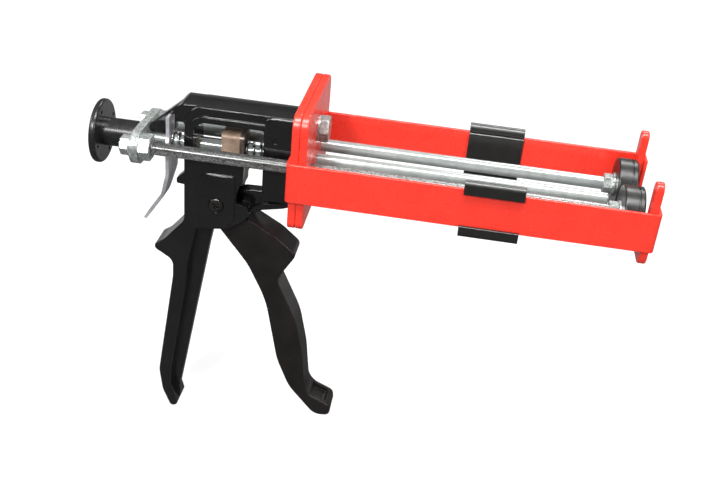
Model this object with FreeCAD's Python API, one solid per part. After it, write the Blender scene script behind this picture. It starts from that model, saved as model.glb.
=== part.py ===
"""Two-component caulking gun with an open twin-cartridge cradle.

Units are millimetres. +X points to the nozzle end, +Y to the user's left, +Z up.
The origin is the centre of the cartridge seat: the front face of the front cradle
plate, midway between the two push rod axes.
"""
import FreeCAD
import Part
import math
import os

V = FreeCAD.Vector

# ------------------------------------------------------------------ driving dimensions
# Rods
ROD_SPACING = 45.0
PUSH_ROD_D = 9.5
DRIVE_ROD_D = 9.5
DRIVE_ROD_DROP = 2.0
ROD_STUD_D = 8.0
DRIVE_ROD_FRONT = 211.0

# Cradle
CRADLE_LENGTH = 232.0
PLATE_T = 5.6
PLATE_WIDTH = 97.4
PLATE_TOP = 49.0
PLATE_BOTTOM = -36.0
PLATE_TOP_R = 10.0
PLATE_BOTTOM_R = 5.0
STRIP_T = 2.5
STRIP_TOP = 15.5
STRIP_BOTTOM = -13.5
PLATE_EDGE_R = 1.0
STRIP_BEND_R = 3.4
HOOK_REACH = 12.0
NOSE_T = 5.6
NOSE_TOP = 36.0
NOSE_BOTTOM = -26.0
NOSE_SLOT_WIDTH = 76.0
NOSE_SLOT_FLOOR = -12.0
NOSE_EAR_R = 5.0

# Snap-on guide clips
CLIP_START = 108.0
CLIP_LENGTH = 41.0
CLIP_WALL = 2.2
CLIP_ROLL = 6.4
CLIP_ROLL_R = 3.8
CLIP_FOOT = 6.8
CLIP_FOOT_R = 3.0
CLIP_LIP_T = 2.4
CLIP_LIP_REACH = 3.2
CLIP_FOOT_REACH = 1.6

# Pistons
PISTON_D = 40.0
PISTON_LENGTH = 14.0
PISTON_NOSE_GAP = 1.0
PISTON_GROOVE = 0.8
PISTON_NUT_RECESS_D = 18.0
PISTON_NUT_RECESS = 7.5
PISTON_FRONT_NUT_T = 6.0

# Nuts and bolts: width across flats, thickness
SMALL_NUT_AF = 13.0
SMALL_NUT_T = 6.5
JAM_NUT_AF = 17.0
JAM_NUT_T = 8.0
WASHER_D = 17.0
WASHER_T = 1.5
BOLT_D = 10.0
BOLT_AF = 17.0
BOLT_HEAD_T = 6.4
BOLT_UPPER_Z = 23.0
BOLT_LOWER_Z = -25.0
BOLT_GRIP = 8.5

# Yoke and pull knob
YOKE_FRONT = -124.5
YOKE_T = 6.0
YOKE_HEIGHT = 25.0
YOKE_MARGIN = 9.8
KNOB_STEM_D = 21.0
KNOB_STEM_LENGTH = 28.5
KNOB_DISC_D = 47.5
KNOB_DISC_T = 5.0
KNOB_HOLES = 4
KNOB_HOLE_D = 3.2
KNOB_HOLE_PCD = 36.0
KNOB_INSERT_T = 8.0

# Body casting
BODY_HALF = 13.0
BODY_REAR = -95.5
BODY_TOP = 33.5
BODY_REAR_R = 16.0
BODY_FRONT_R = 8.0
BODY_CROWN_R = 70.0
CORE_STEP = 1.2
SHOULDER_REAR = -101.5
SHOULDER_TOP = 29.5
WINDOW_REAR = -88.5
WINDOW_FRONT = -37.0
WINDOW_TOP = 21.0
WINDOW_R = 9.0
WINDOW_RIM = 4.5
WINDOW_RIM_PROUD = 1.2
SILL = -3.0
BLOCK_BOTTOM = -34.0
BLOCK_PROUD = 1.8
MARK_D = 4.6
MARK_DEPTH = 0.8
MARK_X = -28.2
MARK_Z = 14.6
CHEEK_INNER = 12.0
CHEEK_OUTER = 15.5
NECK_FRONT = -84.0
WEB_HALF = 4.5
HANDLE_HALF = 12.5
HANDLE_WEB_HALF = 3.5
TAIL_HALF = 4.0
TAIL_END = -124.0

# Trigger
PIVOT_X = -70.3
PIVOT_Z = -42.5
PIVOT_D = 6.0
PIVOT_HEAD_D = 11.0
PIVOT_HEAD_T = 2.6
TRIGGER_HALF = 11.5
TRIGGER_WALL = 3.5
ROLLER_D = 10.0
ROLLER_PIN_D = 4.0
ROLLER_LIFT = 23.0

# Grip plates and drive spring
GRIP_PLATES = 4
GRIP_PLATE_T = 3.35
SPRING_PLATE_T = 3.4
STACK_FRONT = -52.2
STACK_TOP = 12.5
STACK_BOTTOM = -28.0
STACK_HALF = 9.0
DRIVE_SPRING_WIRE = 1.8
DRIVE_SPRING_TURNS = 5.0
SPRING_SEAT_DEPTH = 9.0

# Release lever and catch spring
LEVER_T = 2.5
LEVER_REAR = -110.0
LEVER_TOP = 20.0
LEVER_HALF_TOP = 10.0
LEVER_HALF_MID = 12.0
LEVER_HALF_TAB = 7.0
LEVER_ROD_GAP = 0.8
CATCH_SPRING_WIRE = 1.6
CATCH_SPRING_TURNS = 3.0

# Clearances
SPRING_ROD_GAP = 0.45
CATCH_SPRING_SEAT = 1.5
RUNNING = 0.06
PIN_FIT = 0.04
ROD_HOLE = 0.3
FREE = 0.3

# ------------------------------------------------------------------ derived places
DRIVE_Z = -DRIVE_ROD_DROP
ROD_Y = ROD_SPACING / 2
PLATE_HALF = PLATE_WIDTH / 2
STRIP_OUTER = PLATE_HALF + STRIP_T
PLATES_REAR = -2 * PLATE_T
NOSE_FRONT = CRADLE_LENGTH + NOSE_T
PISTON_FRONT = CRADLE_LENGTH - PISTON_NOSE_GAP
PISTON_REAR = PISTON_FRONT - PISTON_LENGTH
PISTON_NUT_REAR = PISTON_REAR - WASHER_T - SMALL_NUT_T
YOKE_REAR = YOKE_FRONT - YOKE_T
KNOB_REAR = YOKE_REAR - KNOB_STEM_LENGTH - KNOB_DISC_T
STUD_REAR = YOKE_REAR - WASHER_T - SMALL_NUT_T - 1.5
STACK_REAR = STACK_FRONT - SPRING_PLATE_T - GRIP_PLATES * GRIP_PLATE_T
SPRING_SEAT = WINDOW_FRONT + SPRING_SEAT_DEPTH
DRIVE_SPRING_D = DRIVE_ROD_D + 2 * (DRIVE_SPRING_WIRE + SPRING_ROD_GAP)
SPRING_BORE_D = DRIVE_SPRING_D + 1.5
BUSH_D = DRIVE_ROD_D + 4.0
CATCH_SPRING_D = BUSH_D + CATCH_SPRING_SEAT
BUSH_BORE_D = DRIVE_ROD_D + 2 * RUNNING
ROLLER_X = STACK_REAR - ROLLER_D / 2 - FREE
ROLLER_Z = PIVOT_Z + ROLLER_LIFT
LEVER_FRONT = LEVER_REAR + LEVER_T
RIGHT_LEFT = (("right", -1), ("left", 1))


# ------------------------------------------------------------------ shape helpers
def box(x0, x1, y0, y1, z0, z1):
    """Block between two corners."""
    return Part.makeBox(x1 - x0, y1 - y0, z1 - z0, V(x0, y0, z0))


def rod_x(x0, x1, y, z, d):
    """Cylinder along X."""
    return Part.makeCylinder(d / 2, x1 - x0, V(x0, y, z), V(1, 0, 0))


def rod_y(x, y0, y1, z, d):
    """Cylinder along Y."""
    return Part.makeCylinder(d / 2, y1 - y0, V(x, y0, z), V(0, 1, 0))


def hexagon_x(x0, x1, y, z, flats):
    """Hexagonal prism along X with a flat at its top and bottom."""
    r = flats / math.sqrt(3)
    corners = [V(x0, y + r * math.cos(a), z + r * math.sin(a))
               for a in (math.radians(60 * k) for k in range(7))]
    return Part.Face(Part.makePolygon(corners)).extrude(V(x1 - x0, 0, 0))


def chamfered_nut(x0, x1, y, z, flats):
    """Hex nut along X whose corners are turned down at both faces."""
    corner_r = flats / math.sqrt(3)
    turned = 0.5 * (corner_r - flats / 2)
    blank = hexagon_x(x0, x1, y, z, flats)
    low = Part.makeCone(corner_r - turned, corner_r + 0.1, turned, V(x0, y, z), V(1, 0, 0))
    mid = rod_x(x0 + turned, x1 - turned, y, z, 2 * corner_r + 0.2)
    high = Part.makeCone(corner_r + 0.1, corner_r - turned, turned,
                         V(x1 - turned, y, z), V(1, 0, 0))
    return blank.common(low.fuse([mid, high]))


def rounded_wire(corners, place):
    """Closed wire through (u, v, radius) corners; place maps (u, v) to a 3-D point."""
    count = len(corners)
    starts, mids, ends = [], [], []
    for k, (u, v, r) in enumerate(corners):
        here = V(u, v, 0)
        back = V(corners[k - 1][0], corners[k - 1][1], 0) - here
        ahead = V(corners[(k + 1) % count][0], corners[(k + 1) % count][1], 0) - here
        back.normalize()
        ahead.normalize()
        if r <= 0:
            starts.append(here)
            mids.append(None)
            ends.append(here)
            continue
        half = back.getAngle(ahead) / 2
        setback = r / math.tan(half)
        middle = back + ahead
        middle.normalize()
        starts.append(here + back * setback)
        mids.append(here + middle * (r / math.sin(half) - r))
        ends.append(here + ahead * setback)
    edges = []
    for k in range(count):
        if mids[k] is not None:
            arc = Part.Arc(*[place(p.x, p.y) for p in (starts[k], mids[k], ends[k])])
            edges.append(arc.toShape())
        a = ends[k]
        b = starts[(k + 1) % count]
        if a.distanceToPoint(b) > 1e-6:
            edges.append(Part.LineSegment(place(a.x, a.y), place(b.x, b.y)).toShape())
    return Part.Wire(edges)


def slab(corners, y0, y1):
    """Side outline of (x, z, radius) corners, extruded along Y."""
    wire = rounded_wire(corners, lambda u, v: V(u, y0, v))
    return Part.Face(wire).extrude(V(0, y1 - y0, 0))


def sheet(corners, x0, x1):
    """Front outline of (y, z, radius) corners, extruded along X."""
    wire = rounded_wire(corners, lambda u, v: V(x0, u, v))
    return Part.Face(wire).extrude(V(x1 - x0, 0, 0))


def tile(corners, z0, z1):
    """Plan outline of (x, y, radius) corners, extruded along Z."""
    wire = rounded_wire(corners, lambda u, v: V(u, v, z0))
    return Part.Face(wire).extrude(V(0, 0, z1 - z0))


def mirrored(shape):
    """Copy on the other side of the gun."""
    return shape.mirror(V(0, 0, 0), V(0, 1, 0))


def softened(shape, radius, wanted):
    """Fillet the edges that wanted(edge) picks."""
    edges = [edge for edge in shape.Edges if wanted(edge)]
    return shape.makeFillet(radius, edges)


def helix_spring(x0, x1, d, wire, turns, y, z):
    """Coil spring along X between two seats, as a round wire swept along a helix."""
    radius = (d - wire) / 2
    run = x1 - x0 - wire
    count = int(8 * turns)
    points = []
    for k in range(count + 1):
        angle = 2 * math.pi * turns * k / count
        points.append(V(x0 + wire / 2 + run * k / count, y + radius * math.cos(angle),
                        z + radius * math.sin(angle)))
    helix = Part.BSplineCurve()
    helix.interpolate(points)
    tangent = helix.tangent(helix.FirstParameter)[0]
    ring = Part.Wire([Part.makeCircle(wire / 2, points[0], tangent)])
    return Part.Wire([helix.toShape()]).makePipeShell([ring], True, True)


def compound(shapes):
    """Separate solids that share one node."""
    return Part.makeCompound(shapes)


# ------------------------------------------------------------------ body casting
def top_bridge():
    """Upper housing: rear boss, top bridge and front column around the window."""
    front = PLATES_REAR
    core_half = BODY_HALF - CORE_STEP
    core = slab([(BODY_REAR, SILL, 0), (BODY_REAR, 18.0, 3.0), (SHOULDER_REAR, 21.0, 3.0),
                 (SHOULDER_REAR, SHOULDER_TOP, 4.0), (BODY_REAR - 1.0, BODY_TOP, 6.0),
                 (front, BODY_TOP, BODY_FRONT_R), (front, BLOCK_BOTTOM, 0),
                 (WINDOW_FRONT, BLOCK_BOTTOM, 0), (WINDOW_FRONT, SILL, 0)],
                -core_half, core_half)
    pad = slab([(BODY_REAR, SILL, 0), (BODY_REAR, BODY_TOP, BODY_REAR_R),
                (front, BODY_TOP, BODY_FRONT_R), (front, BLOCK_BOTTOM, 0),
                (WINDOW_FRONT, BLOCK_BOTTOM, 0), (WINDOW_FRONT, SILL, 0)],
               -BODY_HALF, BODY_HALF)
    pad = softened(pad, CORE_STEP, lambda e: e.BoundBox.ZMin > BODY_TOP - BODY_REAR_R
                   and e.BoundBox.YLength < 0.1)
    crown = rod_x(SHOULDER_REAR - 1, front + 1, 0, BODY_TOP - BODY_CROWN_R, 2 * BODY_CROWN_R)
    proud = BODY_HALF + WINDOW_RIM_PROUD
    rim = slab([(WINDOW_REAR - WINDOW_RIM, SILL, 0),
                (WINDOW_REAR - WINDOW_RIM, WINDOW_TOP + WINDOW_RIM, WINDOW_R + WINDOW_RIM),
                (WINDOW_FRONT + 1, WINDOW_TOP + WINDOW_RIM, 0), (WINDOW_FRONT + 1, SILL, 0)],
               -proud, proud)
    column_half = BODY_HALF + BLOCK_PROUD
    column = slab([(WINDOW_FRONT, BLOCK_BOTTOM, 0), (WINDOW_FRONT, BODY_TOP - 1.5, 6.0),
                   (front, BODY_TOP - 1.5, BODY_FRONT_R), (front, BLOCK_BOTTOM, 0)],
                  -column_half, column_half)
    column = softened(column, 1.5, lambda e: e.BoundBox.ZMin > 20
                      and e.BoundBox.YLength < 0.1)
    window = slab([(WINDOW_REAR, SILL - 1, 0), (WINDOW_REAR, WINDOW_TOP, WINDOW_R),
                   (WINDOW_FRONT, WINDOW_TOP, 2.0), (WINDOW_FRONT, SILL - 1, 0)],
                  -column_half - 1, column_half + 1)
    return core.fuse(pad).common(crown).fuse([rim, column]).cut(window)


def cheeks():
    """Neck and the two side cheeks that carry the trigger pivot."""
    neck = slab([(BODY_REAR, SILL, 0), (NECK_FRONT, SILL, 0), (NECK_FRONT, -66.0, 0),
                 (-93.0, -67.0, 0), (BODY_REAR, -60.0, 0)], -BODY_HALF, BODY_HALF)
    rear_wall = box(BODY_REAR, WINDOW_REAR, -BODY_HALF, BODY_HALF, -20.0, WINDOW_TOP - 9.0)
    plate = [(-91.0, SILL, 0), (-50.3, SILL, 0), (-50.8, -18.0, 6.0), (-55.2, -31.0, 8.0),
             (-56.0, -39.5, 2.0), (-47.0, -41.5, 3.0), (-44.5, -47.5, 3.0),
             (-52.5, -55.5, 6.0), (-62.0, -62.0, 5.0), (-91.0, -65.5, 0)]
    cheek = slab(plate, CHEEK_INNER, CHEEK_OUTER)
    pad = slab([(-83.0, -17.8, 6.0), (-57.0, -17.8, 2.0), (-56.4, -28.5, 3.0),
                (-56.4, -52.5, 4.0), (-62.0, -60.5, 4.0), (-83.0, -62.0, 2.0)],
               CHEEK_OUTER, CHEEK_OUTER + 0.9)
    fillers = slab([(-91.0, SILL, 0), (NECK_FRONT, SILL, 0), (NECK_FRONT, -65.0, 0),
                    (-91.0, -65.5, 0)], BODY_HALF, CHEEK_INNER + 3.4)
    front_tie = slab([(-54.8, -41.2, 1.5), (-47.5, -42.4, 1.5), (-46.4, -48.5, 1.0),
                      (-52.5, -48.5, 1.5)], -CHEEK_INNER - 0.5, CHEEK_INNER + 0.5)
    side = cheek.fuse([pad, fillers])
    bottom_tie = slab([(NECK_FRONT, -60.0, 0), (-80.5, -61.0, 2.0), (-80.5, -66.0, 0),
                       (NECK_FRONT, -66.0, 0)], -CHEEK_INNER, CHEEK_INNER)
    return neck.fuse([rear_wall, side, mirrored(side), front_tie, bottom_tie])


def lower_arm():
    """Thin web that ties the cheeks to the foot of the front column."""
    front = PLATES_REAR
    web = slab([(WINDOW_FRONT + 0.8, BLOCK_BOTTOM + 1, 0), (front, BLOCK_BOTTOM + 1, 0),
                (front, -39.0, 0), (-22.5, -43.2, 3.0), (-39.0, -46.8, 12.0),
                (-47.5, -52.5, 0), (-53.0, -48.0, 1.0), (-55.3, -44.0, 2.0),
                (-55.3, -33.5, 1.5), (-52.0, -32.2, 2.0), (WINDOW_FRONT + 0.8, -31.6, 3.0)],
               -WEB_HALF, WEB_HALF)
    rib = slab([(front, -39.0, 0), (-22.5, -43.2, 3.0), (-39.0, -46.8, 12.0),
                (-47.5, -52.5, 0), (-48.0, -47.5, 0), (-39.0, -41.5, 12.0),
                (-22.5, -38.6, 3.0), (front, -34.8, 0)], -WEB_HALF - 2.0, WEB_HALF + 2.0)
    foot = box(-19.5, front, -BODY_HALF + 3, BODY_HALF - 3, -38.5, BLOCK_BOTTOM + 1)
    foot = softened(foot, 2.0, lambda e: e.BoundBox.ZLength < 0.1
                    and e.BoundBox.YLength < 0.1 and e.BoundBox.ZMin < -30)
    return web.fuse([rib, foot])


def tail_arm():
    """Hooked arm behind the shoulder that captures the top of the release lever."""
    slot_front = LEVER_FRONT + 2.3
    arm = slab([(BODY_REAR + 2, 15.0, 0), (BODY_REAR + 2, BODY_TOP - 0.4, 0),
                (BODY_REAR - 2.0, BODY_TOP - 0.4, 8.0), (TAIL_END, 10.0, 3.0),
                (TAIL_END, 4.0, 1.5), (-112.5, 3.6, 2.0), (slot_front - 0.5, 5.0, 0),
                (slot_front + 1.0, 15.0, 1.5)], -TAIL_HALF, TAIL_HALF)
    arm = softened(arm, 1.2, lambda e: e.BoundBox.YLength < 0.1
                   and e.CenterOfMass.x < SHOULDER_REAR and e.BoundBox.ZMin > 7.0
                   and e.BoundBox.ZMax - e.BoundBox.ZMin > 8.0
                   and e.BoundBox.XLength > 12.0)
    slot = box(LEVER_REAR - 0.5, slot_front, -20, 20, -10, LEVER_TOP + 0.4)
    return arm.cut(slot)


def spur():
    """Small nose on the neck that stops the release lever."""
    return slab([(BODY_REAR + 1, -21.5, 0), (-104.0, -31.0, 1.2), (-104.0, -35.0, 1.0),
                 (BODY_REAR + 1, -36.0, 0)], -3.5, 3.5)


def palm_handle():
    """Fixed handle: wide palm flange behind a thin web."""
    flange = [(-93.0, -48.0, 0), (-97.0, -63.0, 10.0), (-112.5, -81.5, 20.0),
              (-122.5, -88.0, 3.5), (-105.0, -98.5, 9.0), (-105.2, -113.0, 20.0),
              (-117.3, -206.0, 26.0), (-114.5, -226.0, 20.0), (-107.5, -242.5, 3.0),
              (-101.5, -240.5, 2.8), (-107.5, -221.0, 15.0), (-106.8, -204.0, 26.0),
              (-94.4, -119.0, 20.0), (-93.0, -99.0, 10.0), (-86.0, -66.0, 0),
              (-84.5, -60.0, 0)]
    palm = slab(flange, -HANDLE_HALF, HANDLE_HALF)
    palm = softened(palm, 2.0, lambda e: e.BoundBox.YLength < 0.1
                    and e.BoundBox.ZMax < -80 and e.CenterOfMass.x < -103
                    and e.BoundBox.ZMin > -228)
    web = slab([(-90.0, -60.0, 0), (-75.0, -62.0, 0), (-75.4, -70.0, 3.0),
                (-78.3, -84.0, 12.0), (-102.6, -227.5, 2.0), (-101.4, -229.0, 1.0),
                (-101.8, -238.0, 2.0), (-106.5, -240.5, 0), (-111.0, -222.0, 0),
                (-111.5, -204.0, 0), (-99.0, -119.0, 0)],
               -HANDLE_WEB_HALF, HANDLE_WEB_HALF)
    return palm.fuse(web)


def body_casting():
    """Whole die-cast body with its bores."""
    body = top_bridge().fuse([cheeks(), lower_arm(), tail_arm(), spur(), palm_handle()])
    front = PLATES_REAR
    bores = [rod_x(BODY_REAR - 1, WINDOW_REAR + 6, 0, DRIVE_Z, BUSH_D),
             rod_x(WINDOW_FRONT - 1, SPRING_SEAT, 0, DRIVE_Z, SPRING_BORE_D),
             rod_x(SPRING_SEAT - 1, front + 1, 0, DRIVE_Z, BUSH_D),
             rod_x(front - BOLT_GRIP - 8, front + 1, 0, BOLT_UPPER_Z, BOLT_D),
             rod_x(front - BOLT_GRIP, front + 1, 0, BOLT_LOWER_Z, BOLT_D),
             rod_y(PIVOT_X, -20, 20, PIVOT_Z, PIVOT_D),
             rod_y(PIVOT_X, -20, -CHEEK_OUTER - 0.9 + 1.4, PIVOT_Z, PIVOT_HEAD_D + 0.6),
             rod_y(PIVOT_X, CHEEK_INNER, 20, PIVOT_Z, PIVOT_D + 3.0)]
    face = BODY_HALF + BLOCK_PROUD
    mark = rod_y(MARK_X, face - MARK_DEPTH, face + 1, MARK_Z, MARK_D)
    for bore in bores + [mark, mirrored(mark)]:
        body = body.cut(bore)
    return body.removeSplitter()


# ------------------------------------------------------------------ cradle
def cradle_plate(x0):
    """Rounded plate with the holes of the three rods and two bolts."""
    plate = sheet([(-PLATE_HALF, PLATE_BOTTOM, PLATE_BOTTOM_R),
                   (-PLATE_HALF, PLATE_TOP, PLATE_TOP_R),
                   (PLATE_HALF, PLATE_TOP, PLATE_TOP_R),
                   (PLATE_HALF, PLATE_BOTTOM, PLATE_BOTTOM_R)], x0, x0 + PLATE_T)
    plate = plate.makeFillet(PLATE_EDGE_R, [e for e in plate.Edges if e.BoundBox.XLength < 0.01])
    holes = [rod_x(x0 - 1, x0 + PLATE_T + 1, side * ROD_Y, 0, PUSH_ROD_D + 2 * ROD_HOLE)
             for _, side in RIGHT_LEFT]
    holes.append(rod_x(x0 - 1, x0 + PLATE_T + 1, 0, DRIVE_Z, DRIVE_ROD_D + 2 * ROD_HOLE))
    for z in (BOLT_UPPER_Z, BOLT_LOWER_Z):
        holes.append(rod_x(x0 - 1, x0 + PLATE_T + 1, 0, z, BOLT_D))
    for hole in holes:
        plate = plate.cut(hole)
    return plate


def cradle_strip(side):
    """Flat bar with both ends bent in around the plates; side is -1 right, +1 left."""
    rear = PLATES_REAR - STRIP_T
    front = NOSE_FRONT + STRIP_T
    inner = PLATE_HALF
    outer = STRIP_OUTER
    bar = tile([(rear, outer, STRIP_BEND_R), (front, outer, STRIP_BEND_R),
                (front, inner - HOOK_REACH, 0), (NOSE_FRONT, inner - HOOK_REACH, 0),
                (NOSE_FRONT, inner, STRIP_BEND_R - STRIP_T),
                (PLATES_REAR, inner, STRIP_BEND_R - STRIP_T),
                (PLATES_REAR, inner - HOOK_REACH, 0), (rear, inner - HOOK_REACH, 0)],
               STRIP_BOTTOM, STRIP_TOP)
    bar = bar.makeFillet(0.5, [e for e in bar.Edges if e.BoundBox.ZLength < 0.01
                               and e.BoundBox.XLength > 100])
    return bar if side > 0 else mirrored(bar)


def nose_plate():
    """U-shaped plate that holds the cartridge shoulders."""
    half_slot = NOSE_SLOT_WIDTH / 2
    plate = sheet([(-PLATE_HALF, NOSE_BOTTOM, 7.0), (-PLATE_HALF, NOSE_TOP, NOSE_EAR_R),
                   (-half_slot, NOSE_TOP, NOSE_EAR_R), (-half_slot, NOSE_SLOT_FLOOR, 12.0),
                   (half_slot, NOSE_SLOT_FLOOR, 12.0), (half_slot, NOSE_TOP, NOSE_EAR_R),
                   (PLATE_HALF, NOSE_TOP, NOSE_EAR_R), (PLATE_HALF, NOSE_BOTTOM, 7.0)],
                  CRADLE_LENGTH, NOSE_FRONT)
    return plate.makeFillet(PLATE_EDGE_R, [e for e in plate.Edges if e.BoundBox.XLength < 0.01])


def guide_clip(side):
    """Snap-on plastic clip hugging one cradle strip from the inside."""
    outer = STRIP_OUTER
    inner = PLATE_HALF
    top = STRIP_TOP
    bottom = STRIP_BOTTOM
    lip = outer + CLIP_LIP_T
    back = inner - CLIP_WALL
    profile = [(back, bottom - CLIP_FOOT, CLIP_FOOT_R), (lip, bottom - CLIP_FOOT, CLIP_FOOT_R),
               (lip, bottom + CLIP_FOOT_REACH, 0.6), (outer, bottom + CLIP_FOOT_REACH, 0),
               (outer, bottom, 0), (inner, bottom, 0), (inner, top, 0), (outer, top, 0),
               (outer, top - CLIP_LIP_REACH, 0), (lip, top - CLIP_LIP_REACH, 0.6),
               (lip, top + CLIP_ROLL, CLIP_FOOT_R), (back, top + CLIP_ROLL, CLIP_ROLL_R),
               (back, top + 0.6, 0), (back + 0.8, top - 0.2, 0), (back, top - 1.0, 0)]
    clip = sheet(profile, CLIP_START, CLIP_START + CLIP_LENGTH)
    return clip if side > 0 else mirrored(clip)


def cradle_bolts():
    """Two hex bolts that clamp both plates to the column."""
    bolts = []
    for z, grip in ((BOLT_UPPER_Z, BOLT_GRIP + 6), (BOLT_LOWER_Z, BOLT_GRIP - 0.5)):
        shank = rod_x(PLATES_REAR - grip, WASHER_T, 0, z, BOLT_D)
        head = chamfered_nut(WASHER_T, WASHER_T + BOLT_HEAD_T, 0, z, BOLT_AF)
        bolts.append(shank.fuse(head))
    return compound(bolts)


def bolt_washers():
    """Plain washers under the bolt heads."""
    rings = []
    for z in (BOLT_UPPER_Z, BOLT_LOWER_Z):
        ring = rod_x(0, WASHER_T, 0, z, BOLT_AF + 2.0)
        rings.append(ring.cut(rod_x(-1, WASHER_T + 1, 0, z, BOLT_D)))
    return compound(rings)


# ------------------------------------------------------------------ rod set
def drive_rod():
    """Centre rod that the grip plates push."""
    bar = rod_x(YOKE_REAR - 20.0, DRIVE_ROD_FRONT, 0, DRIVE_Z, DRIVE_ROD_D)
    return bar.makeChamfer(0.8, [e for e in bar.Edges if e.BoundBox.XLength < 0.01])


def push_rod(side):
    """Outer rod with a reduced stud at each end."""
    y = side * ROD_Y
    bar = rod_x(YOKE_FRONT, PISTON_NUT_REAR, y, 0, PUSH_ROD_D)
    rear = rod_x(STUD_REAR, YOKE_FRONT, y, 0, ROD_STUD_D)
    front = rod_x(PISTON_NUT_REAR, PISTON_FRONT - 1.0, y, 0, ROD_STUD_D)
    return bar.fuse([rear, front])


def yoke_plate():
    """Cross plate that ties the three rods together."""
    half_y = ROD_Y + YOKE_MARGIN
    half_z = YOKE_HEIGHT / 2
    mid = DRIVE_Z / 2
    round_r = half_z - 0.2
    plate = sheet([(-half_y, mid - half_z, round_r), (-half_y, mid + half_z, round_r),
                   (half_y, mid + half_z, round_r), (half_y, mid - half_z, round_r)],
                  YOKE_REAR, YOKE_FRONT)
    for _, side in RIGHT_LEFT:
        plate = plate.cut(rod_x(YOKE_REAR - 1, YOKE_FRONT + 1, side * ROD_Y, 0, ROD_STUD_D))
    return plate.cut(rod_x(YOKE_REAR - 1, YOKE_FRONT + 1, 0, DRIVE_Z, DRIVE_ROD_D))


def rod_washers():
    """Washers between the yoke and the end nuts."""
    rings = []
    for _, side in RIGHT_LEFT:
        ring = rod_x(YOKE_REAR - WASHER_T, YOKE_REAR, side * ROD_Y, 0, WASHER_D)
        rings.append(ring.cut(rod_x(YOKE_REAR - 5, YOKE_REAR + 1, side * ROD_Y, 0,
                                    ROD_STUD_D)))
    return compound(rings)


def rod_end_nuts():
    """Nuts on the rear studs."""
    nuts = []
    x1 = YOKE_REAR - WASHER_T
    for _, side in RIGHT_LEFT:
        nut = chamfered_nut(x1 - SMALL_NUT_T, x1, side * ROD_Y, 0, SMALL_NUT_AF)
        nuts.append(nut.cut(rod_x(x1 - 20, x1 + 1, side * ROD_Y, 0, ROD_STUD_D)))
    return compound(nuts)


def jam_nuts():
    """Large nuts on the rods in front of the yoke."""
    nuts = []
    for _, side in RIGHT_LEFT:
        nut = chamfered_nut(YOKE_FRONT, YOKE_FRONT + JAM_NUT_T, side * ROD_Y, 0, JAM_NUT_AF)
        nuts.append(nut.cut(rod_x(YOKE_FRONT - 1, YOKE_FRONT + JAM_NUT_T + 1, side * ROD_Y,
                                  0, PUSH_ROD_D)))
    return compound(nuts)


def piston(side):
    """Plastic piston with a groove behind its front rim."""
    y = side * ROD_Y
    disc = rod_x(PISTON_REAR, PISTON_FRONT, y, 0, PISTON_D)
    disc = disc.makeFillet(1.2, [e for e in disc.Edges if e.BoundBox.XLength < 0.01])
    ring_x = PISTON_FRONT - 4.5
    ring = rod_x(ring_x, ring_x + 1.0, y, 0, PISTON_D + 2)
    disc = disc.cut(ring.cut(rod_x(ring_x - 1, ring_x + 2, y, 0,
                                   PISTON_D - 2 * PISTON_GROOVE)))
    disc = disc.cut(rod_x(PISTON_FRONT - PISTON_NUT_RECESS, PISTON_FRONT + 1, y, 0,
                          PISTON_NUT_RECESS_D))
    return disc.cut(rod_x(PISTON_REAR - 1, PISTON_FRONT + 1, y, 0, ROD_STUD_D))


def piston_nuts():
    """Rear and front nut of each piston."""
    nuts = []
    recess = PISTON_FRONT - PISTON_NUT_RECESS
    for _, side in RIGHT_LEFT:
        for x0, x1 in ((PISTON_NUT_REAR, PISTON_NUT_REAR + SMALL_NUT_T),
                       (recess, recess + PISTON_FRONT_NUT_T)):
            nut = chamfered_nut(x0, x1, side * ROD_Y, 0, SMALL_NUT_AF)
            nuts.append(nut.cut(rod_x(x0 - 1, x1 + 1, side * ROD_Y, 0, ROD_STUD_D)))
    return compound(nuts)


def piston_washers():
    """Washers behind the pistons."""
    rings = []
    for _, side in RIGHT_LEFT:
        ring = rod_x(PISTON_REAR - WASHER_T, PISTON_REAR, side * ROD_Y, 0, WASHER_D)
        rings.append(ring.cut(rod_x(PISTON_REAR - 5, PISTON_REAR + 1, side * ROD_Y, 0,
                                    ROD_STUD_D)))
    return compound(rings)


def pull_knob():
    """Plastic pull knob: stem and flat disc with four small holes."""
    disc_front = KNOB_REAR + KNOB_DISC_T
    disc = rod_x(KNOB_REAR, disc_front, 0, DRIVE_Z, KNOB_DISC_D)
    disc = disc.makeFillet(1.8, [e for e in disc.Edges if e.BoundBox.XLength < 0.01])
    knob = disc.fuse(rod_x(KNOB_REAR + 1, YOKE_REAR, 0, DRIVE_Z, KNOB_STEM_D))
    for k in range(KNOB_HOLES):
        angle = math.radians(20 + 360 * k / KNOB_HOLES)
        y = KNOB_HOLE_PCD / 2 * math.cos(angle)
        z = DRIVE_Z + KNOB_HOLE_PCD / 2 * math.sin(angle)
        knob = knob.cut(rod_x(KNOB_REAR + 1.5, disc_front + 1, y, z, KNOB_HOLE_D))
    knob = knob.cut(rod_x(YOKE_REAR - 20.0, YOKE_REAR + 1, 0, DRIVE_Z, DRIVE_ROD_D))
    pocket = hexagon_x(YOKE_REAR - 17.0, YOKE_REAR - 17.0 + KNOB_INSERT_T, 0, DRIVE_Z,
                       SMALL_NUT_AF)
    return knob.cut(pocket)


def knob_insert():
    """Threaded hex insert moulded into the knob."""
    x0 = YOKE_REAR - 17.0
    insert = hexagon_x(x0, x0 + KNOB_INSERT_T, 0, DRIVE_Z, SMALL_NUT_AF)
    return insert.cut(rod_x(x0 - 1, x0 + KNOB_INSERT_T + 1, 0, DRIVE_Z, DRIVE_ROD_D))


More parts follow.
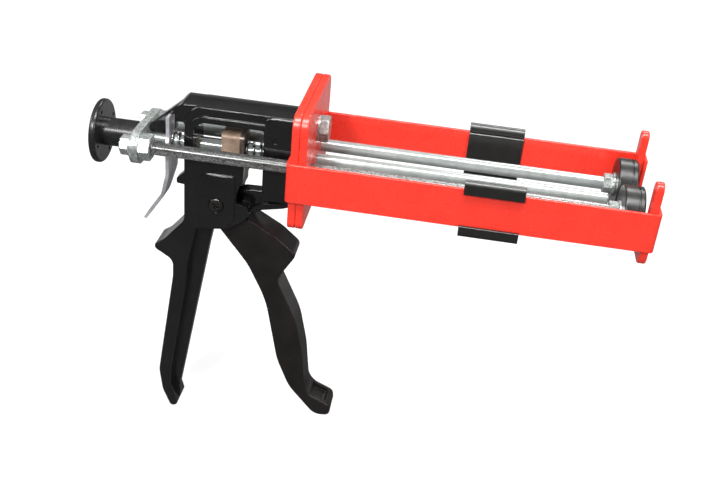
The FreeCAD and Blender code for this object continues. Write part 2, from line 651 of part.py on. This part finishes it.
# ------------------------------------------------------------------ drive
def bush(x0, x1):
    """Plain guide bush of the drive rod."""
    ring = rod_x(x0, x1, 0, DRIVE_Z, BUSH_D)
    return ring.cut(rod_x(x0 - 1, x1 + 1, 0, DRIVE_Z, BUSH_BORE_D))


def stack_plate(x0, thickness):
    """One plate of the drive stack, rounded at its top."""
    plate = sheet([(-STACK_HALF, STACK_BOTTOM, 1.5), (-STACK_HALF, STACK_TOP, 4.0),
                   (STACK_HALF, STACK_TOP, 4.0), (STACK_HALF, STACK_BOTTOM, 1.5)],
                  x0, x0 + thickness)
    return plate.cut(rod_x(x0 - 1, x0 + thickness + 1, 0, DRIVE_Z,
                           DRIVE_ROD_D + 2 * ROD_HOLE))


def grip_plates():
    """Hardened plates that bite on the drive rod."""
    return compound([stack_plate(STACK_REAR + k * GRIP_PLATE_T, GRIP_PLATE_T)
                     for k in range(GRIP_PLATES)])


def spring_plate():
    """Plate between the grip plates and the drive spring."""
    return stack_plate(STACK_FRONT - SPRING_PLATE_T, SPRING_PLATE_T)


def drive_spring():
    """Coil spring that returns the grip plates and the trigger."""
    return helix_spring(STACK_FRONT + 0.05, SPRING_SEAT - 0.05, DRIVE_SPRING_D,
                        DRIVE_SPRING_WIRE, DRIVE_SPRING_TURNS, 0, DRIVE_Z)


def catch_spring():
    """Coil spring that keeps the release lever tilted on the drive rod."""
    return helix_spring(LEVER_FRONT + 0.05, BODY_REAR - 0.05, CATCH_SPRING_D,
                        CATCH_SPRING_WIRE, CATCH_SPRING_TURNS, 0, DRIVE_Z)


def release_lever():
    """Bent strip: upright plate around the drive rod, then a thumb tab."""
    t = LEVER_T
    side = slab([(LEVER_FRONT, LEVER_TOP, 1.0), (LEVER_REAR, LEVER_TOP, 1.0),
                 (LEVER_REAR, -26.0, 20.0), (-115.0, -45.0, 10.0), (-129.0, -66.5, 1.0),
                 (-129.0 + 0.84 * t, -66.5 - 0.54 * t, 1.0),
                 (-115.0 + 0.92 * t, -45.0 - 0.40 * t, 10.0 + t),
                 (LEVER_FRONT, -26.2, 20.0)], -20, 20)
    outline = sheet([(-LEVER_HALF_TOP, 40.0, 0), (-LEVER_HALF_TOP, 4.0, 6.0),
                     (-LEVER_HALF_MID, 0.0, 6.0), (-LEVER_HALF_MID, -30.0, 14.0),
                     (-LEVER_HALF_TAB, -50.0, 14.0), (-LEVER_HALF_TAB, -80.0, 0),
                     (LEVER_HALF_TAB, -80.0, 0), (LEVER_HALF_TAB, -50.0, 14.0),
                     (LEVER_HALF_MID, -30.0, 14.0), (LEVER_HALF_MID, 0.0, 6.0),
                     (LEVER_HALF_TOP, 4.0, 6.0), (LEVER_HALF_TOP, 40.0, 0)],
                    -140.0, -100.0)
    hole = rod_x(-120, -100, 0, DRIVE_Z, DRIVE_ROD_D + 2 * LEVER_ROD_GAP)
    return side.common(outline).cut(hole)


# ------------------------------------------------------------------ trigger
def trigger_lever():
    """Cast trigger: channel open towards the palm, hub and roller fork on top."""
    outline = [(-82.0, -44.0, 10.0), (-69.0, -64.5, 4.0), (-46.5, -92.5, 60.0),
               (-31.0, -123.0, 90.0), (-19.5, -178.0, 60.0), (-8.5, -203.5, 40.0),
               (14.5, -229.0, 12.0), (27.5, -227.0, 4.0), (26.5, -217.0, 6.0),
               (5.5, -208.0, 16.0), (1.0, -170.0, 80.0), (-6.0, -139.0, 60.0),
               (-23.0, -103.5, 8.0), (-8.5, -79.0, 5.0), (-24.0, -66.0, 30.0),
               (-46.5, -53.5, 3.0), (-58.0, -50.0, 6.0), (-60.5, -32.0, 8.0),
               (-80.0, -32.0, 8.0)]
    lever = slab(outline, -TRIGGER_HALF, TRIGGER_HALF)
    channel = slab([(-90.0, -60.0, 0), (-62.0, -62.0, 8.0), (-44.0, -82.0, 30.0),
                    (-26.0, -117.0, 60.0), (-13.0, -172.0, 60.0), (-7.0, -192.0, 0),
                    (-90.0, -192.0, 0)],
                   -TRIGGER_HALF + TRIGGER_WALL, TRIGGER_HALF - TRIGGER_WALL)
    lever = lever.cut(channel)
    lever = softened(lever, 1.6, lambda e: e.BoundBox.YLength < 0.1
                     and abs(e.BoundBox.YMin) > TRIGGER_HALF - 0.1
                     and e.CenterOfMass.x > -23 and e.BoundBox.ZMax > -226
                     and e.BoundBox.ZMin < -70 and e.BoundBox.XMax > -20.5
                     and e.CenterOfMass.z < -70)
    fork_r = ROLLER_D / 2 - 0.6
    fork = slab([(ROLLER_X - fork_r, -38.0, 0), (ROLLER_X - fork_r, ROLLER_Z + fork_r, fork_r - 0.1),
                 (ROLLER_X + fork_r, ROLLER_Z + fork_r, fork_r - 0.1),
                 (ROLLER_X + fork_r, -30.0, 3.0), (-64.0, -38.0, 0)],
                -TRIGGER_HALF, TRIGGER_HALF)
    lever = lever.fuse(fork)
    gap = rod_y(ROLLER_X, -6.5, 6.5, ROLLER_Z, ROLLER_D + 1.6)
    gap = gap.fuse(box(ROLLER_X - 12, ROLLER_X + 12, -6.5, 6.5, ROLLER_Z, ROLLER_Z + 12))
    lever = lever.cut(gap)
    lever = lever.cut(rod_y(ROLLER_X, -20, 20, ROLLER_Z, ROLLER_PIN_D + PIN_FIT))
    lever = lever.cut(rod_y(PIVOT_X, -20, 20, PIVOT_Z, PIVOT_D + 3.0 + 2 * RUNNING))
    pocket = slab([(10.5, -205.0, 0), (9.0, -212.6, 2.0), (21.5, -218.6, 2.0),
                   (25.0, -210.0, 0)], -TRIGGER_HALF + 4.0, TRIGGER_HALF - 4.0)
    lever = lever.cut(pocket)
    return lever.removeSplitter()


def trigger_roller():
    """Roller that pushes on the grip plates."""
    roller = rod_y(ROLLER_X, -6.2, 6.2, ROLLER_Z, ROLLER_D)
    return roller.cut(rod_y(ROLLER_X, -10, 10, ROLLER_Z, ROLLER_PIN_D + 2 * RUNNING))


def roller_pin():
    """Cross pin of the roller."""
    return rod_y(ROLLER_X, -TRIGGER_HALF, TRIGGER_HALF, ROLLER_Z, ROLLER_PIN_D)


def pivot_sleeve():
    """Shouldered sleeve nut on which the trigger turns."""
    sleeve = rod_y(PIVOT_X, -CHEEK_INNER, CHEEK_OUTER + 0.9, PIVOT_Z, PIVOT_D + 3.0)
    head = rod_y(PIVOT_X, CHEEK_OUTER + 0.9, CHEEK_OUTER + 3.0, PIVOT_Z, PIVOT_HEAD_D + 2)
    head = head.makeFillet(0.8, [e for e in head.Edges
                                 if e.BoundBox.YMin > CHEEK_OUTER + 2.5])
    slot = box(PIVOT_X - 8, PIVOT_X + 8, CHEEK_OUTER + 2.0, CHEEK_OUTER + 4.0,
               PIVOT_Z - 0.7, PIVOT_Z + 0.7)
    return sleeve.fuse(head).cut(rod_y(PIVOT_X, -20, CHEEK_OUTER - 2, PIVOT_Z,
                                       PIVOT_D)).cut(slot)


def pivot_screw():
    """Cross recess screw that enters the sleeve from the right cheek."""
    head_seat = -CHEEK_OUTER - 0.9 + 1.4
    shank = rod_y(PIVOT_X, head_seat, CHEEK_OUTER - 4.0, PIVOT_Z, PIVOT_D)
    head = rod_y(PIVOT_X, head_seat - PIVOT_HEAD_T, head_seat, PIVOT_Z, PIVOT_HEAD_D)
    head = head.makeFillet(0.9, [e for e in head.Edges
                                 if e.BoundBox.YMax < head_seat - PIVOT_HEAD_T + 0.1])
    depth = head_seat - PIVOT_HEAD_T + 1.5
    cross = box(PIVOT_X - 2.8, PIVOT_X + 2.8, depth - 4, depth, PIVOT_Z - 0.6, PIVOT_Z + 0.6)
    cross = cross.fuse(box(PIVOT_X - 0.6, PIVOT_X + 0.6, depth - 4, depth, PIVOT_Z - 2.8,
                           PIVOT_Z + 2.8))
    cross.rotate(V(PIVOT_X, 0, PIVOT_Z), V(0, 1, 0), 35)
    return shank.fuse(head).cut(cross)


# ------------------------------------------------------------------ all nodes
def all_nodes():
    """Every node of the gun by name."""
    nodes = {
        "body_casting": body_casting(),
        "rear_cradle_plate": cradle_plate(PLATES_REAR),
        "front_cradle_plate": cradle_plate(-PLATE_T),
        "nose_plate": nose_plate(),
        "cradle_bolts": cradle_bolts(),
        "bolt_washers": bolt_washers(),
        "rear_guide_bush": bush(BODY_REAR, WINDOW_REAR),
        "front_guide_bush": bush(SPRING_SEAT, PLATES_REAR),
        "pivot_screw": pivot_screw(),
        "pivot_sleeve": pivot_sleeve(),
        "drive_rod": drive_rod(),
        "yoke_plate": yoke_plate(),
        "rod_washers": rod_washers(),
        "rod_end_nuts": rod_end_nuts(),
        "jam_nuts": jam_nuts(),
        "piston_nuts": piston_nuts(),
        "piston_washers": piston_washers(),
        "pull_knob": pull_knob(),
        "knob_insert": knob_insert(),
        "grip_plates": grip_plates(),
        "spring_plate": spring_plate(),
        "drive_spring": drive_spring(),
        "catch_spring": catch_spring(),
        "release_lever": release_lever(),
        "trigger_lever": trigger_lever(),
        "trigger_roller": trigger_roller(),
        "roller_pin": roller_pin(),
    }
    for name, side in RIGHT_LEFT:
        nodes[name + "_cradle_strip"] = cradle_strip(side)
        nodes[name + "_guide_clip"] = guide_clip(side)
        nodes[name + "_push_rod"] = push_rod(side)
        nodes[name + "_piston"] = piston(side)
    return nodes


os.makedirs("parts", exist_ok=True)
for node_name, node_shape in all_nodes().items():
    if not node_shape.isValid():
        raise ValueError(node_name + " is not a valid shape")
    node_shape.exportStep("parts/" + node_name + ".step")
    print(node_name, len(node_shape.Solids), round(node_shape.Volume, 1))
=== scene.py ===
"""Looks of a two-component caulking gun: enamelled die-cast body, red cradle, zinc plated rods."""

import math

import bmesh
import bpy
from mathutils import Matrix, Vector


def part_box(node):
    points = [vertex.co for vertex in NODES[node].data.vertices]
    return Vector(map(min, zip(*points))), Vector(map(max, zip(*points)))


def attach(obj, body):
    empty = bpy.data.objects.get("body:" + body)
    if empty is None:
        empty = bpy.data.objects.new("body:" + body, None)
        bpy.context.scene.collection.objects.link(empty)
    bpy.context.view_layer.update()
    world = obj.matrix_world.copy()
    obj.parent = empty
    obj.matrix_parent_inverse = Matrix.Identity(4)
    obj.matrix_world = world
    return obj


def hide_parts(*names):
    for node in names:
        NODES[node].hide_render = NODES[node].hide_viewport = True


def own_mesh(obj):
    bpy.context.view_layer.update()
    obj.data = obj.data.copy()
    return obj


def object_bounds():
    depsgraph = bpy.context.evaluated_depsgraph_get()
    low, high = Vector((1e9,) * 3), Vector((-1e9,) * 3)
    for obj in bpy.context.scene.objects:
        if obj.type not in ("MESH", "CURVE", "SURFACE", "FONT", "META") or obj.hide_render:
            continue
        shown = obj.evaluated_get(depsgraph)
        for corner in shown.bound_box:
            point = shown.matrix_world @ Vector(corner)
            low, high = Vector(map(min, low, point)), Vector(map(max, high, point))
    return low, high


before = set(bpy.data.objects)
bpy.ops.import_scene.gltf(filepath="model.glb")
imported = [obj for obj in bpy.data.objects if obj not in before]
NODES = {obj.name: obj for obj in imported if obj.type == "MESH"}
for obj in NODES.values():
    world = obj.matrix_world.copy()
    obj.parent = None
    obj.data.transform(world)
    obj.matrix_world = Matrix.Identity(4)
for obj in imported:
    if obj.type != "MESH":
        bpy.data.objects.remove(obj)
CAD_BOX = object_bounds()


# ------------------------------------------------------------------ shader helpers
class Shading:
    """The node tree of a material or world, with short ways to add and join its nodes."""

    def __init__(self, owner):
        owner.use_nodes = True
        self.tree = owner.node_tree

    def add(self, kind, **settings):
        node = self.tree.nodes.new(kind)
        for key, value in settings.items():
            setattr(node, key, value)
        return node

    def put(self, socket, value):
        """Links socket to value if that is a socket too, else stores value in it."""
        if isinstance(value, bpy.types.NodeSocket):
            self.tree.links.new(value, socket)
        else:
            socket.default_value = (*value, 1) if socket.type == "RGBA" else value

    def set(self, node, **values):
        """Fills a node's inputs by their names, written with _ for each space."""
        for name, value in values.items():
            self.put(node.inputs[name.replace("_", " ")], value)
        return node

    def calc(self, operation, *values):
        node = self.add("ShaderNodeMath", operation=operation)
        for socket, value in zip(node.inputs, values):
            self.put(socket, value)
        return node.outputs[0]

    def axis(self, vector, letter):
        """One coordinate of a vector."""
        return self.set(self.add("ShaderNodeSeparateXYZ"), Vector=vector).outputs[letter]

    def ramp(self, value, low, high, to_low=0.0, to_high=1.0):
        """value remapped from low..high to to_low..to_high, clamped."""
        node = self.set(self.add("ShaderNodeMapRange"), Value=value, From_Min=low, From_Max=high,
                        To_Min=to_low, To_Max=to_high)
        return node.outputs[0]

    def mix(self, kind, factor, a, b, blend="MIX"):
        """FLOAT or RGBA that is a where factor is 0 and b where it is 1."""
        node = self.add("ShaderNodeMix", data_type=kind, blend_type=blend)
        self.set(node, Factor=factor)
        sort = "VALUE" if kind == "FLOAT" else kind
        for name, value in (("A", a), ("B", b)):
            self.put(next(s for s in node.inputs if s.name == name and s.type == sort), value)
        return next(s for s in node.outputs if s.type == sort)


# How much of a noise's range is spread over the whole range of a tone or a roughness.
MIDDLE = (0.35, 0.65)
UPPER = (0.4, 0.7)
WIDE = (0.3, 0.7)
EDGE_SAMPLES = 4


class Look(Shading):
    """A Principled material with procedural tone, roughness and relief."""

    def __init__(self, name, **sockets):
        self.mat = bpy.data.materials.new(name)
        super().__init__(self.mat)
        self.bsdf = self.set(self.tree.nodes["Principled BSDF"], **sockets)
        self.place = self.add("ShaderNodeTexCoord").outputs["Object"]

    def stretched(self, x, y, z):
        """Object coordinates scaled along each axis, for streaks."""
        node = self.set(self.add("ShaderNodeMapping"), Vector=self.place, Scale=(x, y, z))
        return node.outputs[0]

    def noise(self, scale, detail, rough=0.5, at=None):
        """Noise with scale cells per metre, at object coordinates unless others are given."""
        node = self.add("ShaderNodeTexNoise")
        self.set(node, Vector=at or self.place, Scale=scale, Detail=detail, Roughness=rough)
        return node.outputs["Fac"]

    def tone(self, noise, spread, low, high):
        """Base colour that wanders from low to high with a noise."""
        factor = self.ramp(noise, *spread)
        self.set(self.bsdf, Base_Color=self.mix("RGBA", factor, low, high))

    def sheen(self, noise, rough, less, more):
        """Roughness that wanders from rough - less to rough + more with a noise."""
        self.set(self.bsdf, Roughness=self.ramp(noise, *WIDE, rough - less, rough + more))

    def round_edges(self, radius):
        """Shades sharp edges as if they were rounded to this radius."""
        node = self.set(self.add("ShaderNodeBevel", samples=EDGE_SAMPLES), Radius=radius)
        self.set(self.bsdf, Normal=node.outputs[0])

    def bump(self, height, depth):
        """Relief of this depth in metres, laid over the rounded edges if there are any."""
        node = self.set(self.add("ShaderNodeBump"), Height=height, Distance=depth)
        rounded = self.bsdf.inputs["Normal"].links
        if rounded:
            self.set(node, Normal=rounded[0].from_socket)
        self.set(self.bsdf, Normal=node.outputs[0])


# ------------------------------------------------------------------ materials
# Scales are noise cells per metre, depths and edges are metres.
ENAMEL_TONE_SCALE, ENAMEL_SHEEN_SCALE, PEEL_SCALE = 60, 90, 420
PEEL_DEPTH = 0.000006
GRAIN_DEPTH = 0.000004
COAT_ROUGHNESS = 0.08


def enamel(name, low, high, rough, peel, edge, gloss=0.5, coat=0.0):
    """Sprayed enamel: slow tone change and orange peel in the film."""
    look = Look(name, Specular_IOR_Level=gloss, Coat_Weight=coat, Coat_Roughness=COAT_ROUGHNESS)
    look.round_edges(edge)
    look.tone(look.noise(ENAMEL_TONE_SCALE, detail=4), MIDDLE, low, high)
    look.sheen(look.noise(ENAMEL_SHEEN_SCALE, detail=4), rough, less=0.05, more=0.07)
    look.bump(look.noise(PEEL_SCALE, detail=1), PEEL_DEPTH * peel)
    return look


STREAK_SCALE, GRAIN_SCALE = 330, 900
CLOUD_SHARE, STREAK_SHARE = 0.35, 0.65


def metal(name, low, high, rough, streak=(1, 1, 1), patch=130, edge=None, metallic=1.0,
          drawn=False):
    """Plated or bare metal: cloudy tone and fine grain, drawn out where streak is below 1.

    patch is the clouds' scale, and the tone of a drawn piece mostly follows its streaks.
    """
    look = Look(name, Metallic=metallic)
    if edge:
        look.round_edges(edge)
    along = look.stretched(*streak)
    cloud = look.noise(patch, detail=5, rough=0.6)
    if drawn:
        streaks = look.noise(STREAK_SCALE, detail=2, at=along)
        cloud = look.calc("ADD", look.calc("MULTIPLY", cloud, CLOUD_SHARE),
                          look.calc("MULTIPLY", streaks, STREAK_SHARE))
    look.tone(cloud, MIDDLE, low, high)
    grain = look.noise(GRAIN_SCALE, detail=3, rough=0.6, at=along)
    look.sheen(grain, rough, less=0.08, more=0.12)
    look.bump(grain, GRAIN_DEPTH)
    return look


# Metres over which the painted shade on a rod's top sets in upwards and ends forwards.
TOP_SHADE_Z = (-0.0022, 0.0012)
TOP_SHADE_X = (-0.01, 0.015)


def painted_top_shade(look, share):
    """Paints shade on the upper side of a rod, darkening it to a share of its colour behind the
    cradle plates.
    """
    unshaded = look.bsdf.inputs["Base Color"].links[0].from_socket
    height = look.ramp(look.axis(look.place, "Z"), *TOP_SHADE_Z)
    behind = look.ramp(look.axis(look.place, "X"), *TOP_SHADE_X, 1.0, 0.0)
    # painted shade: the rod's top turns darker, but not in front of the cradle plates
    shade_tint = look.mix("RGBA", look.calc("MULTIPLY", height, behind), (1, 1, 1), (share,) * 3)
    look.set(look.bsdf, Base_Color=look.mix("RGBA", 1.0, unshaded, shade_tint, blend="MULTIPLY"))


PLASTIC_TONE_SCALE, PLASTIC_SHEEN_SCALE, SPARK_SCALE = 200, 150, 1800
PLASTIC_EDGE = 0.0006
TONE_GAIN = 1.5


def plastic(name, colour, rough, grain, gloss=0.5):
    """Moulded plastic: fine spark-erosion grain and slightly uneven sheen."""
    look = Look(name, Specular_IOR_Level=gloss)
    look.round_edges(PLASTIC_EDGE)
    light = tuple(TONE_GAIN * c for c in colour)
    look.tone(look.noise(PLASTIC_TONE_SCALE, detail=4), UPPER, colour, light)
    look.sheen(look.noise(PLASTIC_SHEEN_SCALE, detail=4), rough, less=0.05, more=0.08)
    look.bump(look.noise(SPARK_SCALE, detail=2), GRAIN_DEPTH * grain)
    return look


casting = enamel("casting_enamel", (0.004, 0.0038, 0.0038), (0.006, 0.0057, 0.0057), 0.15,
                 peel=0.4, edge=0.0012, coat=0.5)
trigger = enamel("trigger_enamel", (0.006, 0.0046, 0.0043), (0.010, 0.0079, 0.0075), 0.30,
                 peel=1.4, edge=0.0015)
red = enamel("cradle_enamel", (0.675, 0.0285, 0.0155), (0.70, 0.031, 0.017), 0.27,
             peel=0.2, edge=0.0007, gloss=0.6)
rod_zinc = metal("rod_zinc", (0.20, 0.225, 0.215), (0.38, 0.40, 0.39), 0.18,
                 streak=(0.02, 1, 1), metallic=0.28, drawn=True)
# speckled wear on the right push rod, with painted shade laid on its top below
worn_shaded_zinc = metal("worn_shaded_zinc", (0.03, 0.032, 0.03), (0.42, 0.43, 0.42), 0.24,
                  streak=(0.3, 1, 1), patch=900, metallic=0.4)
# painted shade on the right push rod's top, behind the cradle plates
painted_top_shade(worn_shaded_zinc, 0.28)
part_zinc = metal("part_zinc", (0.22, 0.24, 0.235), (0.50, 0.53, 0.51), 0.30,
                  patch=320, edge=0.0007, metallic=0.6)
lever_steel = metal("lever_steel", (0.40, 0.385, 0.41), (0.54, 0.53, 0.56), 0.40,
                    streak=(1, 0.04, 1), metallic=0.5)
copper_steel = metal("copper_steel", (0.25, 0.175, 0.125), (0.40, 0.29, 0.21), 0.50,
                     streak=(1, 0.05, 1), metallic=0.25)
stack_steel = metal("stack_steel", (0.10, 0.08, 0.065), (0.20, 0.16, 0.135), 0.40, metallic=0.7)
spring_steel = metal("spring_steel", (0.34, 0.35, 0.34), (0.50, 0.50, 0.49), 0.24)
brass = metal("bush_brass", (0.50, 0.36, 0.16), (0.66, 0.50, 0.26), 0.34)
dark_steel = metal("dark_steel", (0.075, 0.073, 0.072), (0.14, 0.138, 0.135), 0.24, edge=0.0008)
piston_plastic = plastic("piston_plastic", (0.0095, 0.0093, 0.009), 0.32, grain=1.0)
clip_plastic = plastic("clip_plastic", (0.006, 0.0058, 0.0052), 0.33, grain=0.25, gloss=0.8)
knob_plastic = plastic("knob_plastic", (0.009, 0.009, 0.0093), 0.25, grain=0.4)

FINISHES = (
    (casting, ("body_casting",)),
    (trigger, ("trigger_lever",)),
    (red, ("rear_cradle_plate", "front_cradle_plate", "nose_plate", "right_cradle_strip",
           "left_cradle_strip")),
    (clip_plastic, ("right_guide_clip", "left_guide_clip")),
    (part_zinc, ("cradle_bolts", "bolt_washers", "yoke_plate", "rod_washers", "rod_end_nuts",
                 "jam_nuts", "piston_nuts", "piston_washers")),
    (brass, ("rear_guide_bush", "front_guide_bush", "knob_insert")),
    (dark_steel, ("pivot_screw", "pivot_sleeve", "trigger_roller", "roller_pin")),
    (rod_zinc, ("drive_rod", "left_push_rod")),
    (worn_shaded_zinc, ("right_push_rod",)),
    (stack_steel, ("spring_plate",)),
    (copper_steel, ("grip_plates",)),
    (spring_steel, ("drive_spring", "catch_spring")),
    (lever_steel, ("release_lever",)),
    (piston_plastic, ("right_piston", "left_piston")),
    (knob_plastic, ("pull_knob",)),
)
for look, node_names in FINISHES:
    for node_name in node_names:
        mesh = NODES[node_name].data
        mesh.materials.clear()
        mesh.materials.append(look.mat)


# ------------------------------------------------------------------ rounded castings
WELD_REACH = 0.000003
FLAT_DEGREES = 0.5
SHARP_DEGREES = 32
BEVEL_STEPS = 3


def soft_edges(node_name, width):
    """Rounds a CAD node's sharp edges by width millimetres."""
    part = NODES[node_name]
    weld = part.modifiers.new("weld", "WELD")
    weld.merge_threshold = WELD_REACH
    flat = part.modifiers.new("flat", "DECIMATE")
    flat.decimate_type = "DISSOLVE"
    flat.angle_limit = math.radians(FLAT_DEGREES)
    bevel = part.modifiers.new("bevel", "BEVEL")
    bevel.width = width / 1000
    bevel.segments = BEVEL_STEPS
    bevel.limit_method = "ANGLE"
    bevel.angle_limit = math.radians(SHARP_DEGREES)
    smooth = part.modifiers.new("smooth", "WEIGHTED_NORMAL")
    smooth.weight = 100


soft_edges("body_casting", 0.55)
soft_edges("trigger_lever", 0.9)


# ------------------------------------------------------------------ coil springs
STEPS_PER_TURN = 28
WIRE_SIDES = 12
FLAT_TURNS = 0.45


def coil(name, x0, x1, outer, wire, turns, z):
    """Round wire wound along X, with nearly half a turn at each end laid flat on its seat."""
    radius = (outer - wire) / 2
    steps = int(STEPS_PER_TURN * turns)
    shape = bmesh.new()
    rings = []
    for k in range(steps + 1):
        t = k / steps * turns
        laid = min(max((t - FLAT_TURNS) / (turns - 2 * FLAT_TURNS), 0.0), 1.0)
        centre_x = x0 + wire / 2 + (x1 - x0 - wire) * laid
        turn = 2 * math.pi * t
        ring = []
        for j in range(WIRE_SIDES):
            tilt = 2 * math.pi * j / WIRE_SIDES
            r = radius + wire / 2 * math.cos(tilt)
            ring.append(shape.verts.new((centre_x + wire / 2 * math.sin(tilt),
                                         r * math.cos(turn), z + r * math.sin(turn))))
        rings.append(ring)
    for a, b in zip(rings, rings[1:]):
        for j in range(WIRE_SIDES):
            after = (j + 1) % WIRE_SIDES
            shape.faces.new((a[j], b[j], b[after], a[after]))
    shape.faces.new(rings[0])
    shape.faces.new(rings[-1])
    bmesh.ops.recalc_face_normals(shape, faces=shape.faces)
    for face in shape.faces:
        face.smooth = len(face.verts) == 4
    mesh = bpy.data.meshes.new(name)
    shape.to_mesh(mesh)
    shape.free()
    mesh.materials.append(spring_steel.mat)
    piece = bpy.data.objects.new(name, mesh)
    bpy.context.scene.collection.objects.link(piece)
    return piece


def spring_for(name, node_name, body, wire, turns):
    """Coil piece that stands for a CAD spring, hides it and rides with the body of the spring's
    joint.
    """
    low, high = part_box(node_name)
    centre_z = (low.z + high.z) / 2
    piece = coil(name, low.x, high.x, high.z - low.z, wire, turns, centre_z)
    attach(piece, body)
    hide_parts(node_name)
    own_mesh(piece)


spring_for("drive_coil", "drive_spring", "drive_stack",
           wire=0.0018, turns=5.0)
spring_for("catch_coil", "catch_spring", "release_catch",
           wire=0.0016, turns=3.0)


# ------------------------------------------------------------------ floor
# Metres, and the strengths that the paper's glow has at the two ends of each distance.
FLOOR_HALF = 6.0
FLOOR_GAP = 0.0005
PAPER = (0.26, 0.26, 0.262)
PAPER_MIRRORED = (0.045, 0.045, 0.045)
GLOW_SEEN = (0.74, 0.92)
GLOW_MIRRORED = (0.04, 0.4)
GLOW_SEEN_THROUGH = 0.04
FAR_REACH = (0.8, 2.6)
BEHIND_Y = (0.2, 0.6)


def floor_paper():
    """Paper that the camera sees as white, and mirrors as dark but for its part behind the gun."""
    mat = bpy.data.materials.new("floor_paper")
    paper = Shading(mat)
    spot = paper.add("ShaderNodeTexCoord").outputs["Object"]
    ray = paper.add("ShaderNodeLightPath").outputs
    reach = paper.set(paper.add("ShaderNodeVectorMath", operation="LENGTH"), Vector=spot)
    levels = (
        ("Is Camera Ray", paper.ramp(reach.outputs["Value"], *FAR_REACH, *GLOW_SEEN)),
        ("Is Glossy Ray", paper.ramp(paper.axis(spot, "Y"), *BEHIND_Y, *GLOW_MIRRORED)),
        ("Is Transmission Ray", GLOW_SEEN_THROUGH),
    )
    total = 0.0
    for kind, level in levels:
        total = paper.calc("MULTIPLY_ADD", ray[kind], level, total)
    tone = paper.mix("RGBA", ray["Is Glossy Ray"], PAPER, PAPER_MIRRORED)
    matt = paper.set(paper.tree.nodes["Principled BSDF"], Base_Color=tone, Roughness=0.9,
                     Specular_IOR_Level=0.1)
    glow = paper.set(paper.add("ShaderNodeEmission"), Strength=total)
    both = paper.add("ShaderNodeAddShader")
    paper.put(both.inputs[0], matt.outputs[0])
    paper.put(both.inputs[1], glow.outputs[0])
    paper.set(paper.tree.nodes["Material Output"], Surface=both.outputs[0])
    return mat


floor_mesh = bpy.data.meshes.new("floor")
shape = bmesh.new()
bmesh.ops.create_grid(shape, x_segments=1, y_segments=1, size=FLOOR_HALF)
shape.to_mesh(floor_mesh)
shape.free()
floor_mesh.materials.append(floor_paper())
floor = bpy.data.objects.new("floor", floor_mesh)
floor.location = (0, 0, CAD_BOX[0].z - FLOOR_GAP)
bpy.context.scene.collection.objects.link(floor)


# ------------------------------------------------------------------ surroundings
# Strengths of the sky by the height of a direction, from the horizon (0) to straight up (1).
SKY_HEIGHTS = (0.0, 0.9)
SKY_STRENGTHS = (0.34, 0.55)
GLOOM_HEIGHTS = (0.35, 0.9)
GLOOM_STRENGTHS = (0.07, 0.34)
BAND_HEIGHTS = (0.05, 0.22)
BAND_STRENGTHS = (0.4, 0.0)
BACK_TURN = (0.2, 0.6)

world = bpy.data.worlds.new("studio")
bpy.context.scene.world = world
air = Shading(world)
heading = air.add("ShaderNodeTexCoord").outputs["Generated"]
up = air.axis(heading, "Z")
gloom = air.ramp(up, *GLOOM_HEIGHTS, *GLOOM_STRENGTHS)
band = air.ramp(up, *BAND_HEIGHTS, *BAND_STRENGTHS)
back = air.ramp(air.axis(heading, "Y"), *BACK_TURN)
mirrored_sky = air.calc("MULTIPLY_ADD", band, back, gloom)
ray = air.add("ShaderNodeLightPath").outputs
strength = air.ramp(up, *SKY_HEIGHTS, *SKY_STRENGTHS)
for kind, level in (("Is Glossy Ray", mirrored_sky), ("Is Camera Ray", 1.0),
                    ("Is Transmission Ray", 1.0)):
    strength = air.mix("FLOAT", ray[kind], strength, level)
air.set(air.tree.nodes["Background"], Color=(1, 1, 1), Strength=strength)


# ------------------------------------------------------------------ lamps and camera
LAMP_AIM = Vector((0.03, 0.0, -0.05))


def softbox(name, place, width, height, power):
    """Rectangular lamp of this size in metres and power in watts, turned to the gun."""
    lamp = bpy.data.lights.new(name, "AREA")
    lamp.shape = "RECTANGLE"
    lamp.size = width
    lamp.size_y = height
    lamp.energy = power
    holder = bpy.data.objects.new(name, lamp)
    holder.location = place
    holder.rotation_euler = (LAMP_AIM - Vector(place)).to_track_quat("-Z", "Y").to_euler()
    bpy.context.scene.collection.objects.link(holder)


softbox("top_softbox", (0.10, -0.30, 1.00), 0.70, 0.28, 17)
softbox("front_softbox", (-0.44, -1.25, 0.95), 0.26, 0.26, 22)
softbox("side_softbox", (1.20, -0.60, 0.60), 0.35, 0.6, 8)
softbox("rear_softbox", (-1.15, -0.35, 0.70), 0.22, 0.5, 6)
softbox("far_softbox", (0.35, 1.15, 1.25), 0.40, 0.40, 10)

# The camera's place and directions, fitted to the photo's view.
CAMERA_PLACE = (0.0932, -0.6597, 0.3126)
RIGHT = Vector((0.987326, 0.132943, 0.086683))
DOWN = Vector((0.140796, -0.481642, -0.864984))
AHEAD = Vector((-0.073249, 0.866225, -0.494255))
SENSOR_MM = 36.0
LENS_MM = 50.27
NEAREST_SEEN = 0.01

lens = bpy.data.cameras.new("camera")
lens.sensor_width = SENSOR_MM
lens.lens = LENS_MM
lens.clip_start = NEAREST_SEEN
camera = bpy.data.objects.new("camera", lens)
facing = Matrix((RIGHT, -DOWN, -AHEAD)).transposed().to_4x4()
facing.translation = CAMERA_PLACE
camera.matrix_world = facing
bpy.context.scene.collection.objects.link(camera)
bpy.context.scene.camera = camera
bpy.context.scene.view_settings.view_transform = "Standard"
